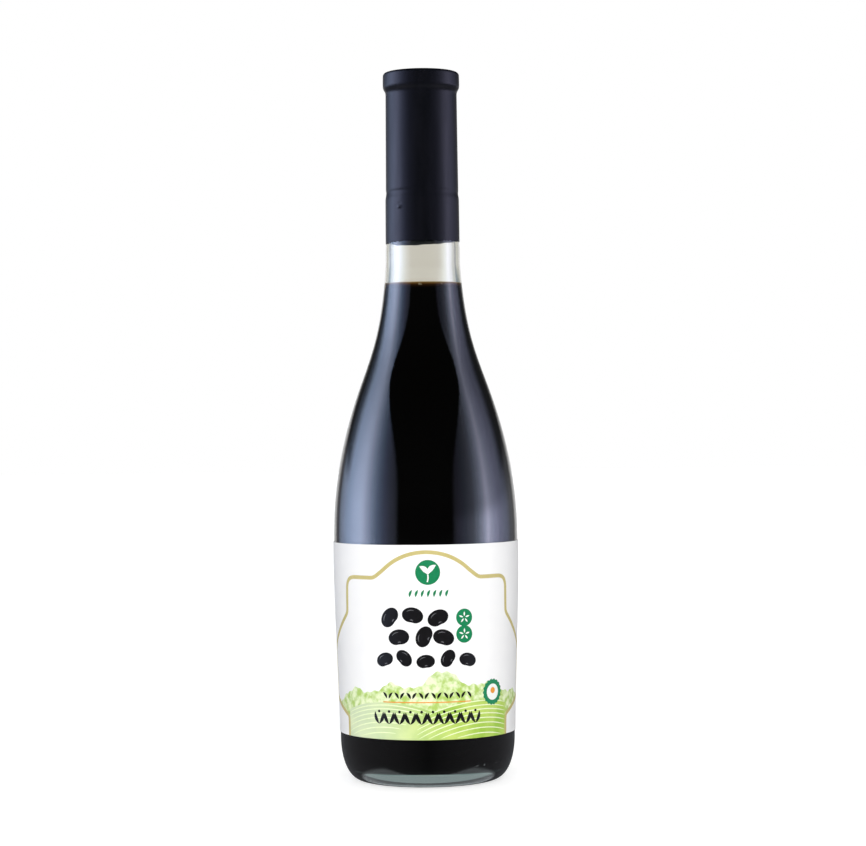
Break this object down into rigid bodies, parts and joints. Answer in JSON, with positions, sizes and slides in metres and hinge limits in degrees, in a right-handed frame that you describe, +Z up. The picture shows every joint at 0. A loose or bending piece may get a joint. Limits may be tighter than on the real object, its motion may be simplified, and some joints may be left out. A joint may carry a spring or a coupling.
{
  "type": "soy sauce bottle",
  "caption": "Tall clear glass bottle with sloping shoulders and a long neck, filled with dark soy sauce, with a wrap-round paper label and a dark shrink capsule.",
  "frame": {"origin": "middle of the ring that the bottle stands on", "axes": "+Z up along the bottle's axis, -Y out of the front of the label"},
  "size_m": [0.072, 0.072, 0.2747],
  "materials": {
    "glass": "clear bottle glass, polished",
    "sauce": "near-black liquid, amber where it is thin",
    "label": "coated white paper with a satin surface, printed",
    "capsule": "satin blue-black shrink film"
  },
  "bodies": {
    "root": {"glass_bottle": "glass", "soy_sauce": "sauce", "label": "label", "capsule": "capsule"}
  },
  "joints": []
}
